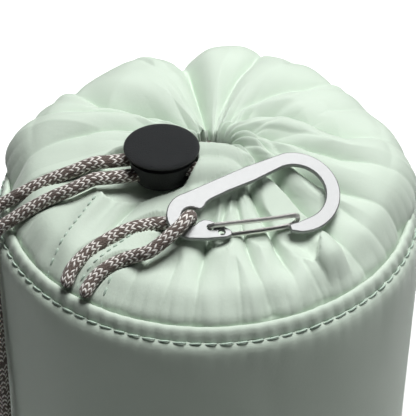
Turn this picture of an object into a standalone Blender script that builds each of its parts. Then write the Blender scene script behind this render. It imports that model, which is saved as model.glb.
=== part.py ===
"""Drawstring shoe bag: a packed nylon cylinder with a gathered top, cord lock and carabiner.

Metres, +Z up, front towards -Y. The origin is the centre of the base's underside.
"""

import math

import bmesh
import bpy
from mathutils import Matrix, Vector

MM = 0.001

# The bag's own sizes.
BAG_RADIUS = 80 * MM
SEAM_HEIGHT = 305 * MM  # height of the seam between the wall and the collar
WALL = 1.2 * MM
BASE_THICKNESS = 1.5 * MM
CLEARANCE = 0.3 * MM
BINDING_WIDTH = 4.0 * MM
BINDING_HEIGHT = 2.2 * MM
SEAM_STRIP_WIDTH = 16 * MM
SEAM_STRIP_THICKNESS = 0.8 * MM
RIM_FOLD_WIDTH = 3.2 * MM
RIM_FOLD_HEIGHT = 5.7 * MM
RIM_FOLD_DROP = 0.7 * MM  # how far the fold's lower edge lies below the seam
COLLAR_THICKNESS = 0.8 * MM
COLLAR_SKIRT = 4.0 * MM  # collar cloth that hangs inside the wall, below the seam
COLLAR_CROWN = 24.8 * MM  # rise of the packed collar above the seam
COLLAR_LEAN = 6.7 * MM  # how much higher the back of the collar bulges than the front
COLLAR_SEAM_ANGLE = math.radians(222)
COLLAR_SEAM_WIDTH = 10 * MM

# The gathered mouth and the drawstring.
MOUTH_CENTRE = Vector((1.7, -3.2, 0)) * MM
CORD_DIAMETER = 5.0 * MM
CASING_RADIUS = 10.5 * MM
CASING_TUBE = 8.6 * MM  # outer diameter of the gathered tunnel
CASING_DEPTH = 3.4 * MM  # centre line of the tunnel below the crown
CORD_JOINT = 0.9 * MM  # from each end of the tunnel to the cord's nearest end face
CASING_START = math.radians(20)
CASING_END = math.radians(250)

# The cord lock, in its own frame: Z is the button's axis and the cord runs along X.
LOCK_CENTRE = Vector((-17.0, -16.7, 0)) * MM
LOCK_HEIGHT = 24.6 * MM  # underside of the barrel above the seam
CORD_TURN = 0.05  # how far the strands run to the front, per length to the left
CORD_FALL = 0.105  # how far the strands fall, per length to the left
CORD_IN_LOCK = 6.4 * MM
CORD_SPACING = 9.8 * MM
BARREL_RADIUS = 12.4 * MM
BARREL_WAIST = 11.2 * MM
BARREL_FLAT = 6.7 * MM
BARREL_HEIGHT = 11.1 * MM
BARREL_FLOOR = 0.7 * MM
BUTTON_RADIUS = 13.9 * MM
BUTTON_TOP = 16.4 * MM
BUTTON_THICKNESS = 3.0 * MM
BUTTON_TRAVEL = 2.1 * MM
PLUNGER_LENGTH = 5.0 * MM
PLUNGER_WEB = 4.2 * MM
FOOT_LENGTH = 14.0 * MM
FOOT_THICKNESS = 0.6 * MM
RUNNING_GAP = 0.15 * MM
SPRING_DIAMETER = 2.6 * MM
SPRING_WIRE = 0.4 * MM
SPRING_COILS = 9
POCKET_TOP = 10.4 * MM

# The carabiner: a flat plate that leans on the collar.
PLATE_ORIGIN = Vector((16.22, -32.3, 28.4)) * MM  # from the seam's centre
PLATE_ACROSS = Vector((0.993, 0.0, -0.119))
PLATE_NORMAL = Vector((0.109, -0.404, 0.908))
PLATE_THICKNESS = 2.2 * MM
PLATE_EDGE = 0.35 * MM
RING_CENTRE = (15.3, 3.3)
RING_OUTER = 16.3
RING_INNER = 11.1
EYE_CENTRE = (-21.8, -10.9)
EYE_RADIUS = 3.7
SMALL_END_CENTRE = (-21.5, -10.5)
SMALL_END_RADIUS = 9.3
BAR_CENTRE = (-24.9, -16.3)  # middle of the bar that the loop cord goes round
BAR_INWARD = (0.5, 0.866)  # from the bar towards the ring
GATE_PIVOT = (-14.9, -14.6)
GATE_HOLE = (-10.6, -16.0)
GATE_HOLE_RADIUS = 1.35
GATE_WIRE = 1.9 * MM
BIGHT_RADIUS = 5.6 * MM  # of the loop cord's centre line round the bar

# Colours, as linear red, green and blue.
MINT = (0.60, 0.70, 0.59)
MINT_DARK = (0.32, 0.40, 0.31)
CORD_COLOUR = (0.10, 0.075, 0.065)
BLACK_PLASTIC = (0.012, 0.014, 0.015)
ALUMINIUM = (0.82, 0.83, 0.82)
STEEL = (0.45, 0.45, 0.43)


def make_material(name, colour, roughness, metallic=0.0):
    material = bpy.data.materials.new(name)
    material.use_nodes = True
    shader = material.node_tree.nodes["Principled BSDF"]
    shader.inputs["Base Color"].default_value = (*colour, 1.0)
    shader.inputs["Roughness"].default_value = roughness
    shader.inputs["Metallic"].default_value = metallic
    return material


def add_object(name, mesh, material, matrix=None):
    thing = bpy.data.objects.new(name, mesh)
    bpy.context.scene.collection.objects.link(thing)
    mesh.materials.append(material)
    if matrix is not None:
        thing.matrix_world = matrix
    return thing


def mesh_from(name, points, faces, smooth_angle=35):
    """A closed mesh with its faces turned outwards."""
    mesh = bpy.data.meshes.new(name)
    mesh.from_pydata([tuple(p) for p in points], [], faces)
    shape = bmesh.new()
    shape.from_mesh(mesh)
    bmesh.ops.recalc_face_normals(shape, faces=shape.faces)
    shape.to_mesh(mesh)
    shape.free()
    mesh.shade_smooth()
    mesh.set_sharp_from_angle(angle=math.radians(smooth_angle))
    return mesh


def turned(name, profile, segments=64, smooth_angle=35):
    """Turns a closed outline of (radius, height) round the Z axis. A radius of 0 is a single point."""
    points = []
    rings = []
    for radius, height in profile:
        count = 1 if radius == 0 else segments
        rings.append([len(points) + i for i in range(count)])
        for i in range(count):
            angle = 2 * math.pi * i / segments
            points.append((radius * math.cos(angle), radius * math.sin(angle), height))
    faces = []
    for a, b in zip(rings, rings[1:] + rings[:1]):
        if len(a) == 1 and len(b) == 1:
            continue
        for i in range(segments):
            j = (i + 1) % segments
            face = [a[i % len(a)], a[j % len(a)], b[j % len(b)], b[i % len(b)]]
            faces.append(list(dict.fromkeys(face)))
    return mesh_from(name, points, faces, smooth_angle)


def box(name, size, centre):
    shape = bmesh.new()
    bmesh.ops.create_cube(shape, size=1.0)
    bmesh.ops.scale(shape, vec=size, verts=shape.verts)
    bmesh.ops.translate(shape, vec=centre, verts=shape.verts)
    mesh = bpy.data.meshes.new(name)
    shape.to_mesh(mesh)
    shape.free()
    return mesh


def rod(name, radius, start, end, segments=24):
    """A solid round bar between two points."""
    start = Vector(start)
    along = Vector(end) - start
    shape = bmesh.new()
    bmesh.ops.create_cone(
        shape, cap_ends=True, segments=segments, radius1=radius, radius2=radius, depth=along.length
    )
    turn = Vector((0, 0, 1)).rotation_difference(along).to_matrix().to_4x4()
    bmesh.ops.transform(shape, matrix=Matrix.Translation(start + along / 2) @ turn, verts=shape.verts)
    mesh = bpy.data.meshes.new(name)
    shape.to_mesh(mesh)
    shape.free()
    return mesh


def combine(target, operation, name, mesh):
    """Cuts a mesh from the target or joins it on. Both are in the target's own frame."""
    tool = bpy.data.objects.new(name, mesh)
    bpy.context.scene.collection.objects.link(tool)
    tool.matrix_world = target.matrix_world
    tool.hide_render = True
    tool.display_type = "WIRE"
    modifier = target.modifiers.new(name, "BOOLEAN")
    modifier.operation = operation
    modifier.object = tool
    modifier.solver = "EXACT"


def through(points, spacing):
    """Evenly spaced points on a smooth curve through the given points."""
    ends = [points[0] * 2 - points[1]], [points[-1] * 2 - points[-2]]
    knots = ends[0] + list(points) + ends[1]
    fine = []
    for a, b, c, d in zip(knots, knots[1:], knots[2:], knots[3:]):
        for step in range(16):
            t = step / 16
            fine.append(
                0.5
                * (
                    2 * b
                    + (c - a) * t
                    + (2 * a - 5 * b + 4 * c - d) * t * t
                    + (3 * b - a - 3 * c + d) * t**3
                )
            )
    fine.append(knots[-2])
    lengths = [0.0]
    for a, b in zip(fine, fine[1:]):
        lengths.append(lengths[-1] + (b - a).length)
    count = max(2, round(lengths[-1] / spacing))
    result = []
    at = 0
    for i in range(count + 1):
        wanted = lengths[-1] * i / count
        while at < len(fine) - 2 and lengths[at + 1] < wanted:
            at += 1
        share = (wanted - lengths[at]) / (lengths[at + 1] - lengths[at])
        result.append(fine[at].lerp(fine[at + 1], min(1.0, share)))
    return result


def tube(name, route, diameter, material, spacing, sides=2, matrix=None):
    """A round cord or wire along a smooth route, as a curve with filled ends."""
    curve = bpy.data.curves.new(name, "CURVE")
    curve.dimensions = "3D"
    curve.bevel_depth = diameter / 2
    curve.bevel_resolution = sides
    curve.use_fill_caps = True
    places = through([Vector(p) for p in route], spacing)
    spline = curve.splines.new("POLY")
    spline.points.add(len(places) - 1)
    for point, place in zip(spline.points, places):
        point.co = (*place, 1.0)
    return add_object(name, curve, material, matrix)


def above_seam(x, y, z):
    """A place in the bag's frame, given in millimetres from the centre of the collar seam."""
    return Vector((x, y, z)) * MM + Vector((0, 0, SEAM_HEIGHT))


def collar_height(x, y):
    """Height of the packed collar above the seam."""
    radius = math.hypot(x, y)
    share = min(1.0, radius / BAG_RADIUS)
    rise = COLLAR_CROWN * (1 - share**3) ** (2 / 3)
    lean = COLLAR_LEAN * math.sin(math.pi * share**2) * y / max(radius, 1e-6)
    return rise + lean


def build_wall(cloth, tape):
    top = SEAM_HEIGHT - RIM_FOLD_DROP - CLEARANCE
    bottom = BASE_THICKNESS + CLEARANCE
    inside = BAG_RADIUS - WALL
    outline = [(BAG_RADIUS, top), (BAG_RADIUS, bottom), (inside, bottom), (inside, top)]
    add_object("side_panel", turned("side_panel", outline, 96), cloth)

    edge = BAG_RADIUS - 0.2 * MM
    outline = [(0, BASE_THICKNESS), (edge, BASE_THICKNESS), (edge, 0), (0, 0)]
    add_object("base_panel", turned("base_panel", outline, 96), cloth)

    outer = inside - CLEARANCE
    inner = outer - BINDING_WIDTH
    tape_top = bottom + BINDING_HEIGHT
    outline = [(outer, tape_top), (outer, bottom), (inner, bottom), (inner, tape_top)]
    add_object("base_binding", turned("base_binding", outline, 72), tape)

    half_angle = SEAM_STRIP_WIDTH / 2 / outer
    steps = 6
    points = []
    for i in range(steps + 1):
        angle = math.pi / 2 + half_angle * (2 * i / steps - 1)
        for radius in (outer, outer - SEAM_STRIP_THICKNESS):
            for height in (tape_top + 2 * CLEARANCE, top - COLLAR_SKIRT - 2 * CLEARANCE):
                points.append((radius * math.cos(angle), radius * math.sin(angle), height))
    add_object("side_seam", mesh_from("side_seam", points, sleeve_faces(steps + 1, 4, (0, 1, 3, 2))), cloth)


def sleeve_faces(stations, corners, order):
    """Faces of a closed bar: the same ring of corners at each station, and both ends."""
    faces = []
    for s in range(stations - 1):
        for i in range(corners):
            a = s * corners + order[i]
            b = s * corners + order[(i + 1) % corners]
            faces.append([a, b, b + corners, a + corners])
    faces.append([order[i] for i in range(corners)])
    faces.append([(stations - 1) * corners + order[i] for i in reversed(range(corners))])
    return faces


def build_rim(cloth):
    centre_radius = BAG_RADIUS - RIM_FOLD_WIDTH / 2 - 0.1 * MM
    centre_height = SEAM_HEIGHT - RIM_FOLD_DROP + RIM_FOLD_HEIGHT / 2
    outline = []
    for i in range(10):
        angle = -2 * math.pi * i / 10
        outline.append(
            (
                centre_radius + RIM_FOLD_WIDTH / 2 * math.cos(angle),
                centre_height + RIM_FOLD_HEIGHT / 2 * math.sin(angle),
            )
        )
    add_object("rim_fold", turned("rim_fold", outline, 72, 60), cloth)


def build_collar(cloth):
    outer_edge = BAG_RADIUS - RIM_FOLD_WIDTH - 0.1 * MM - CLEARANCE
    inner_edge = CASING_RADIUS + CASING_TUBE / 2 + COLLAR_THICKNESS + CLEARANCE
    radii = [outer_edge]
    radii += [outer_edge - share * (outer_edge - inner_edge) for share in (0.02, 0.06, 0.13, 0.24, 0.4, 0.6, 0.8, 1)]
    segments = 60
    drop = SEAM_HEIGHT - RIM_FOLD_DROP - COLLAR_SKIRT

    def ring(radius, thickness, skirt=False):
        """One ring of the outer face, or of the inner face when it has a thickness."""
        shift = MOUTH_CENTRE * (1 - radius / outer_edge)
        result = []
        for i in range(segments):
            angle = 2 * math.pi * i / segments
            x = shift.x + radius * math.cos(angle)
            y = shift.y + radius * math.sin(angle)
            z = drop if skirt else SEAM_HEIGHT + collar_height(x, y) - thickness
            x -= thickness * math.cos(angle)
            y -= thickness * math.sin(angle)
            result.append((x, y, z))
        return result

    outside = [ring(outer_edge, 0, True)] + [ring(r, 0) for r in radii]
    inside = [ring(r, COLLAR_THICKNESS) for r in reversed(radii)] + [ring(outer_edge, COLLAR_THICKNESS, True)]
    rings = outside + inside
    points = [p for r in rings for p in r]
    faces = []
    for s in range(len(rings)):
        nxt = (s + 1) % len(rings)
        for i in range(segments):
            j = (i + 1) % segments
            faces.append([s * segments + i, s * segments + j, nxt * segments + j, nxt * segments + i])
    add_object("cap_panel", mesh_from("cap_panel", points, faces, 60), cloth)

    points = []
    stations = 9
    for s in range(stations):
        radius = 30 * MM + (66 - 30) * MM * s / (stations - 1)
        for side, depth in ((-1, 1.7), (1, 1.7), (1, 2.5), (-1, 2.5)):
            angle = COLLAR_SEAM_ANGLE + side * COLLAR_SEAM_WIDTH / 2 / radius
            x = radius * math.cos(angle)
            y = radius * math.sin(angle)
            points.append((x, y, SEAM_HEIGHT + collar_height(x, y) - depth * MM))
    add_object("cap_seam", mesh_from("cap_seam", points, sleeve_faces(stations, 4, (0, 1, 2, 3))), cloth)


def casing_place(angle):
    centre = MOUTH_CENTRE + Vector((0, 0, SEAM_HEIGHT + COLLAR_CROWN - CASING_DEPTH))
    return centre + Vector((math.cos(angle), math.sin(angle), 0)) * CASING_RADIUS


def build_casing(cloth, cord):
    """The tunnel is a C, and the two ends of the drawstring leave it at the C's ends."""
    stations = 22
    sides = 12
    bore = CORD_DIAMETER / 2 + CLEARANCE
    points = []
    for s in range(stations):
        angle = CASING_START + (CASING_END - CASING_START) * s / (stations - 1)
        outward = Vector((math.cos(angle), math.sin(angle), 0))
        for radius in (CASING_TUBE / 2, bore):
            for i in range(sides):
                turn = 2 * math.pi * i / sides
                offset = outward * math.cos(turn) + Vector((0, 0, 1)) * math.sin(turn)
                points.append(casing_place(angle) + offset * radius)
    faces = []
    row = 2 * sides
    for s in range(stations - 1):
        for i in range(sides):
            j = (i + 1) % sides
            a = s * row
            faces.append([a + i, a + j, a + row + j, a + row + i])
            faces.append([a + sides + i, a + row + sides + i, a + row + sides + j, a + sides + j])
    for a in (0, (stations - 1) * row):
        for i in range(sides):
            j = (i + 1) % sides
            faces.append([a + i, a + sides + i, a + sides + j, a + j])
    add_object("casing", mesh_from("casing", points, faces, 60), cloth)

    first = CASING_START + CORD_JOINT / CASING_RADIUS
    last = CASING_END - CORD_JOINT / CASING_RADIUS
    route = [casing_place(first + (last - first) * i / 12) for i in range(13)]
    tube("drawstring_ring", route, CORD_DIAMETER, cord, 5 * MM)


def strand_place(side, along):
    """A place on a strand's centre line in the lock, so far to the right of the button's axis."""
    away = Vector((-CORD_TURN, 1, 0)).normalized() * side * CORD_SPACING / 2
    height = SEAM_HEIGHT + LOCK_HEIGHT + CORD_IN_LOCK
    return LOCK_CENTRE + away + Vector((along, along * CORD_TURN, height + along * CORD_FALL))


def build_tails(cord):
    gap = CORD_JOINT / CASING_RADIUS
    straight = 2.5 * MM / CASING_RADIUS
    back = [
        casing_place(CASING_START - gap),
        casing_place(CASING_START - straight),
        above_seam(12.2, -4.8, 23.0),
        above_seam(10.6, -8.2, 27.6),
        above_seam(5.0, -10.3, 31.6),
        strand_place(1, 16 * MM),
        strand_place(1, 12 * MM),
        strand_place(1, 4 * MM),
        strand_place(1, -4 * MM),
        strand_place(1, -12 * MM),
        strand_place(1, -20 * MM),
        strand_place(1, -25 * MM),
        above_seam(-49.5, -13.8, 25.4),
        above_seam(-58.2, -13.6, 21.2),
        above_seam(-67.9, -14.2, 15.9),
        above_seam(-74.5, -13.6, 11.0),
        above_seam(-79.6, -13.7, 7.4),
        above_seam(-83.0, -14.1, 2.0),
        above_seam(-84.2, -14.6, -7),
        above_seam(-84.0, -15.3, -30),
        above_seam(-83.8, -16.4, -75),
        above_seam(-84.6, -16.0, -120),
        above_seam(-84.6, -14.6, -160),
        above_seam(-86.2, -16.6, -195),
        above_seam(-88.4, -18.4, -218.8),
    ]
    tube("drawstring_tail_back", back, CORD_DIAMETER, cord, 6 * MM)
    front = [
        casing_place(CASING_END + gap),
        casing_place(CASING_END + straight),
        above_seam(3.8, -13.9, 23.4),
        above_seam(6.6, -15.8, 27.8),
        above_seam(4.8, -19.6, 31.6),
        strand_place(-1, 15 * MM),
        strand_place(-1, 12 * MM),
        strand_place(-1, 4 * MM),
        strand_place(-1, -4 * MM),
        strand_place(-1, -12 * MM),
        strand_place(-1, -20 * MM),
        strand_place(-1, -25 * MM),
        above_seam(-49.0, -24.2, 25.2),
        above_seam(-57.7, -23.6, 20.2),
        above_seam(-67.0, -24.4, 14.6),
        above_seam(-73.2, -25.0, 10.2),
        above_seam(-77.6, -25.3, 6.6),
        above_seam(-80.4, -25.6, 1.0),
        above_seam(-81.2, -25.8, -8),
        above_seam(-81.2, -25.4, -30),
        above_seam(-80.6, -27.4, -75),
        above_seam(-81.4, -27.6, -120),
        above_seam(-81.6, -27.6, -160),
        above_seam(-84.0, -25.6, -195),
        above_seam(-87.2, -24.6, -218.8),
    ]
    tube("drawstring_tail_front", front, CORD_DIAMETER, cord, 6 * MM)

    half_width, half_depth, half_height = 10.5 * MM, 8.2 * MM, 8.5 * MM
    centre = above_seam(-88.0, -21.5, -218) - Vector((0, 0, half_height + 1.2 * MM))
    outline = [(0, half_height)]
    for i in range(1, 8):
        angle = math.pi * i / 8
        outline.append((math.sin(angle) * half_height, math.cos(angle) * half_height))
    outline.append((0, -half_height))
    mesh = turned("end_knot", outline, 16, 60)
    mesh.transform(Matrix.Diagonal((half_depth / half_height, half_width / half_height, 1, 1)))
    knot = add_object("end_knot", mesh, cord, Matrix.Translation(centre))
    for side in (-1, 1):
        start = (0, side * 3.1 * MM, -half_height / 2)
        end = (side * 1.5 * MM, side * 4.6 * MM, -half_height - 14 * MM)
        combine(knot, "UNION", "cord_end", rod("cord_end", CORD_DIAMETER / 2, start, end, 12))


def lock_matrix():
    place = LOCK_CENTRE + Vector((0, 0, SEAM_HEIGHT + LOCK_HEIGHT))
    return Matrix.Translation(place) @ Matrix.Rotation(math.atan(CORD_TURN), 4, "Z")


def build_lock(plastic, steel):
    frame = lock_matrix()
    corner = 4.5 * MM
    outline = [(0, BARREL_HEIGHT), (BARREL_RADIUS, BARREL_HEIGHT)]
    for i in range(5):
        angle = math.pi / 2 * i / 4
        outline.append(
            (
                BARREL_WAIST - corner + corner * math.cos(angle),
                corner + 1 * MM - (corner + 1 * MM) * math.sin(angle),
            )
        )
    outline.append((0, 0))
    barrel = add_object("lock_barrel", turned("lock_barrel", outline, 40), plastic, frame)
    slot_length = PLUNGER_LENGTH + 2 * RUNNING_GAP
    slot_width = FOOT_LENGTH + 2 * RUNNING_GAP
    slot_height = 2 * BARREL_HEIGHT
    slot = box("slot", (slot_length, slot_width, slot_height), (0, 0, BARREL_FLOOR + slot_height / 2))
    combine(barrel, "DIFFERENCE", "slot", slot)
    for side in (-1, 1):
        reach = 16 * MM
        start = (-reach, side * CORD_SPACING / 2, CORD_IN_LOCK - reach * CORD_FALL)
        end = (reach, side * CORD_SPACING / 2, CORD_IN_LOCK + reach * CORD_FALL)
        bore = rod("cord_hole", CORD_DIAMETER / 2 + CLEARANCE, start, end, 20)
        combine(barrel, "DIFFERENCE", "cord_hole", bore)

    under = BUTTON_TOP - BUTTON_THICKNESS
    outline = [
        (0, BUTTON_TOP),
        (BUTTON_RADIUS * 0.6, BUTTON_TOP - 0.15 * MM),
        (BUTTON_RADIUS - 0.7 * MM, BUTTON_TOP - 0.45 * MM),
        (BUTTON_RADIUS, BUTTON_TOP - 1.1 * MM),
        (BUTTON_RADIUS - 0.2 * MM, under),
        (0, under),
    ]
    button = add_object("lock_button", turned("lock_button", outline, 48), plastic, frame)
    foot_top = CORD_IN_LOCK - CORD_DIAMETER / 2 - PLUNGER_LENGTH / 2 * CORD_FALL - RUNNING_GAP
    foot_bottom = foot_top - FOOT_THICKNESS
    web_height = under + 1 * MM - foot_bottom
    web = box("web", (PLUNGER_LENGTH, PLUNGER_WEB, web_height), (0, 0, foot_bottom + web_height / 2))
    combine(button, "UNION", "web", web)
    foot_middle = foot_bottom + FOOT_THICKNESS / 2
    foot = box("foot", (PLUNGER_LENGTH - 0.1 * MM, FOOT_LENGTH, FOOT_THICKNESS), (0, 0, foot_middle))
    combine(button, "UNION", "foot", foot)
    pocket_radius = SPRING_DIAMETER / 2 + RUNNING_GAP
    pocket = rod("pocket", pocket_radius, (0, 0, -1 * MM), (0, 0, POCKET_TOP), 20)
    combine(button, "DIFFERENCE", "pocket", pocket)

    low = BARREL_FLOOR + RUNNING_GAP + SPRING_WIRE / 2
    high = POCKET_TOP - RUNNING_GAP - SPRING_WIRE / 2
    radius = (SPRING_DIAMETER - SPRING_WIRE) / 2
    turns = SPRING_COILS * 12
    points = []
    for i in range(turns + 1):
        angle = 2 * math.pi * i / 12
        outward = Vector((math.cos(angle), math.sin(angle), 0))
        centre = outward * radius + Vector((0, 0, low + (high - low) * i / turns))
        for corner_index in range(5):
            spin = 2 * math.pi * corner_index / 5
            offset = outward * math.cos(spin) + Vector((0, 0, 1)) * math.sin(spin)
            points.append(centre + offset * SPRING_WIRE / 2)
    faces = sleeve_faces(turns + 1, 5, (0, 1, 2, 3, 4))
    add_object("lock_spring", mesh_from("lock_spring", points, faces, 60), steel, frame)


def plate_frame():
    """The plate's own frame: X across, Y up the plate, Z out of its face."""
    normal = PLATE_NORMAL.normalized()
    across = (PLATE_ACROSS - normal * PLATE_ACROSS.dot(normal)).normalized()
    up = normal.cross(across)
    turn = Matrix((across, up, normal)).transposed().to_4x4()
    return Matrix.Translation(PLATE_ORIGIN + Vector((0, 0, SEAM_HEIGHT))) @ turn


def arc(centre, radius, start, end, steps):
    """Points on a circle, from one direction to another in degrees."""
    result = []
    for i in range(steps + 1):
        angle = math.radians(start + (end - start) * i / steps)
        result.append((centre[0] + radius * math.cos(angle), centre[1] + radius * math.sin(angle)))
    return result


def plate_outline():
    """The open hook: round the ring, down the spine, round the eye's end, and back inside."""
    outside = [(14.2, -12.5)]
    outside += arc(RING_CENTRE, RING_OUTER, -80, 108, 24)
    outside += [(-4.0, 11.2)]
    outside += arc(SMALL_END_CENTRE, SMALL_END_RADIUS, 112, 268, 16)
    outside += [(-16.1, -19.3), (-8.6, -17.8), (-7.0, -16.7), (-6.9, -15.3), (-8.1, -14.4)]
    inside = [(-12.9, -12.5), (-15.1, -11.7), (-17.3, -11.7), (-19.2, -12.9)]
    inside += arc(EYE_CENTRE, EYE_RADIUS, -70, -290, 16)
    inside += [(-19.3, -7.7), (-18.3, -7.4), (-17.4, -6.3), (-16.8, -4.8), (-15.4, -3.3)]
    inside += [(-9.3, 0.8), (-0.2, 6.0)]
    inside += arc(RING_CENTRE, RING_INNER, 118, -62, 20)
    inside += [(16.9, -8.7), (13.4, -10.3)]
    return outside + inside


def build_carabiner(metal, steel):
    pivot = Vector((*BAR_CENTRE, 0)) * MM
    matrix = plate_frame() @ Matrix.Translation(pivot)
    half = PLATE_THICKNESS / 2
    shape = bmesh.new()
    corners = [shape.verts.new((u * MM - pivot.x, v * MM - pivot.y, -half)) for u, v in plate_outline()]
    face = shape.faces.new(corners)
    rise = bmesh.ops.extrude_face_region(shape, geom=[face])
    raised = [item for item in rise["geom"] if isinstance(item, bmesh.types.BMVert)]
    bmesh.ops.translate(shape, vec=(0, 0, PLATE_THICKNESS), verts=raised)
    bmesh.ops.recalc_face_normals(shape, faces=shape.faces)
    mesh = bpy.data.meshes.new("carabiner_frame")
    shape.to_mesh(mesh)
    shape.free()
    mesh.shade_smooth()
    mesh.set_sharp_from_angle(angle=math.radians(35))
    plate = add_object("carabiner_frame", mesh, metal, matrix)
    bevel = plate.modifiers.new("edge", "BEVEL")
    bevel.width = PLATE_EDGE
    bevel.segments = 1
    bevel.limit_method = "ANGLE"
    bevel.angle_limit = math.radians(60)
    for name, (u, v) in (("pivot_hole", GATE_PIVOT), ("second_hole", GATE_HOLE)):
        place = Vector((u, v, 0)) * MM - pivot
        low = place - Vector((0, 0, 2 * half))
        high = place + Vector((0, 0, 2 * half))
        combine(plate, "DIFFERENCE", name, rod(name, GATE_HOLE_RADIUS * MM, low, high, 16))

    hinge = Vector((*GATE_PIVOT, 0)) * MM
    level = (half + GATE_WIRE / 2 + CLEARANCE) / MM  # of each leg above or below the plate's middle
    route = [
        (0, 0, -1.0),
        (0, 0, 1.2),
        (0.45, 0.1, 2.0),
        (1.6, 0.35, level),
        (8.0, 1.9, level),
        (21.3, 5.1, level),
        (27.8, 7.0, level),
        (30.3, 7.9, 1.8),
        (31.3, 7.9, 0.7),
        (31.3, 7.3, -0.7),
        (30.3, 6.4, -1.8),
        (27.8, 5.3, -level),
        (21.8, 3.4, -level),
        (8.5, -0.3, -level),
        (4.3, -1.4, -level),
    ]
    wire_route = [Vector(p) * MM for p in route]
    tube("gate_wire", wire_route, GATE_WIRE, steel, 1.4 * MM, 2, plate_frame() @ Matrix.Translation(hinge))


def build_loop(cord):
    """The loop passes under the plate's small end, up through the eye and back over the bar."""
    frame = plate_frame()
    back = [
        above_seam(-50.4, -59.2, 8.0),
        above_seam(-48.6, -54.8, 11.8),
        above_seam(-44.5, -50.2, 14.6),
        above_seam(-37.8, -46.0, 17.6),
        above_seam(-28.7, -41.8, 20.4),
        above_seam(-20.5, -39.6, 21.2),
    ]
    under = [(-30.0, -11.2, -5.7), (-26.0, -11.2, -4.6), (-23.4, -11.2, -3.3), (-22.3, -11.3, -1.7)]
    under = [frame @ (Vector(place) * MM) for place in under]
    pivot = Vector((*BAR_CENTRE, 0)) * MM
    inward = Vector((*BAR_INWARD, 0)).normalized()
    bight = []
    for degrees in (0, 25, 50, 75, 100):
        angle = math.radians(degrees)
        offset = inward * math.cos(angle) + Vector((0, 0, 1)) * math.sin(angle)
        bight.append(frame @ (pivot + offset * BIGHT_RADIUS))
    front = [
        above_seam(-12.6, -52.6, 27.4),
        above_seam(-16.4, -54.6, 24.8),
        above_seam(-20.3, -56.1, 22.3),
        above_seam(-24.4, -55.2, 19.8),
        above_seam(-29.5, -54.4, 17.1),
        above_seam(-35.1, -56.0, 14.9),
        above_seam(-39.6, -58.8, 12.4),
        above_seam(-42.3, -62.0, 10.1),
        above_seam(-43.7, -64.6, 8.1),
    ]
    tube("loop_cord", back + under + bight + front, CORD_DIAMETER, cord, 2.6 * MM)


def main():
    for thing in list(bpy.data.objects):
        bpy.data.objects.remove(thing, do_unlink=True)
    cloth = make_material("mint_nylon", MINT, 0.55)
    tape = make_material("seam_tape", MINT_DARK, 0.7)
    cord = make_material("braided_cord", CORD_COLOUR, 0.8)
    plastic = make_material("black_plastic", BLACK_PLASTIC, 0.45)
    aluminium = make_material("brushed_aluminium", ALUMINIUM, 0.35, 1.0)
    steel = make_material("steel_wire", STEEL, 0.3, 1.0)
    build_wall(cloth, tape)
    build_rim(cloth)
    build_collar(cloth)
    build_casing(cloth, cord)
    build_tails(cord)
    build_lock(plastic, steel)
    build_carabiner(aluminium, steel)
    build_loop(cord)


main()
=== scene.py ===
import math

import bmesh
import bpy
import numpy as np
from mathutils import Matrix, Vector


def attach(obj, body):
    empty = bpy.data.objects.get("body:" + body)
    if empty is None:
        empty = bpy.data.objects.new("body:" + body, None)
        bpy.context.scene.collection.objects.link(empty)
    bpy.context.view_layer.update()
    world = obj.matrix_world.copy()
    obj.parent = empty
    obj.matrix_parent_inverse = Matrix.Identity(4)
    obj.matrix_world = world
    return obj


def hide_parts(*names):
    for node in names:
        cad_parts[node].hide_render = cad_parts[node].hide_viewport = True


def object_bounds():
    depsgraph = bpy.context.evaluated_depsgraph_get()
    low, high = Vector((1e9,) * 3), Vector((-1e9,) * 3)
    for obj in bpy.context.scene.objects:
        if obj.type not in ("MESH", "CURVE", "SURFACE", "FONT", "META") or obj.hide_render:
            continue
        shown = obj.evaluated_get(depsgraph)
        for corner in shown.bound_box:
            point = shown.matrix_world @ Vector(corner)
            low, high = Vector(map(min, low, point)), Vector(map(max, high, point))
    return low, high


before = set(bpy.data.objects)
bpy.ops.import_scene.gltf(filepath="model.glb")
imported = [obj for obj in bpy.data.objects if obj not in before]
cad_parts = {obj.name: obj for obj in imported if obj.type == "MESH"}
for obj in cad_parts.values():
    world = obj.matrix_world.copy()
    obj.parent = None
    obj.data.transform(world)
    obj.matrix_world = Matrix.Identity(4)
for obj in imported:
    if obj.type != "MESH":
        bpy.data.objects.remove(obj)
cad_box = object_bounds()

# --- Camera ---
# A long lens looks down on the gathered top from the front. The bag stands on the floor, and the camera
# takes in only its top third.
MM = 0.001
SEAM_HEIGHT = 305 * MM
CAMERA_DISTANCE = 0.700
CAMERA_ROLL = math.radians(0.42)
look_down = math.radians(38.28)
look_at = Vector((0, 0, SEAM_HEIGHT))
camera_data = bpy.data.cameras.new("camera")
camera_data.sensor_width = 36
camera_data.lens = 158.05
camera_data.shift_y = -0.0128
camera_data.clip_start = 0.01
camera = bpy.data.objects.new("camera", camera_data)
bpy.context.scene.collection.objects.link(camera)
tilt = Matrix.Rotation(math.pi / 2 - look_down, 4, "X") @ Matrix.Rotation(CAMERA_ROLL, 4, "Z")
back_off = Vector((0, -math.cos(look_down), math.sin(look_down))) * CAMERA_DISTANCE
camera.matrix_world = Matrix.Translation(look_at + back_off) @ tilt
bpy.context.scene.camera = camera


# --- Drawstring and loop cord ---
# 5 mm round polyester cord, braided from sixteen dark and off-white strands. The drawstring's two ends come
# out of the casing, go through the lock and hang down the left side. The loop comes out of the rim seam.
CORD_DIAMETER = 5.0 * MM
BRAID_STRANDS = 16
BRAID_PITCH = 1.15 * MM
CORD_DARK = (0.150, 0.112, 0.094, 1)
CORD_LIGHT = (0.92, 0.88, 0.83, 1)
CORD_SIDES = 28
CORD_STEP = 0.7 * MM
END_ROUNDING = (0.35, 0.75, 0.93)
STEPS_BETWEEN_POINTS = 16


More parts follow.
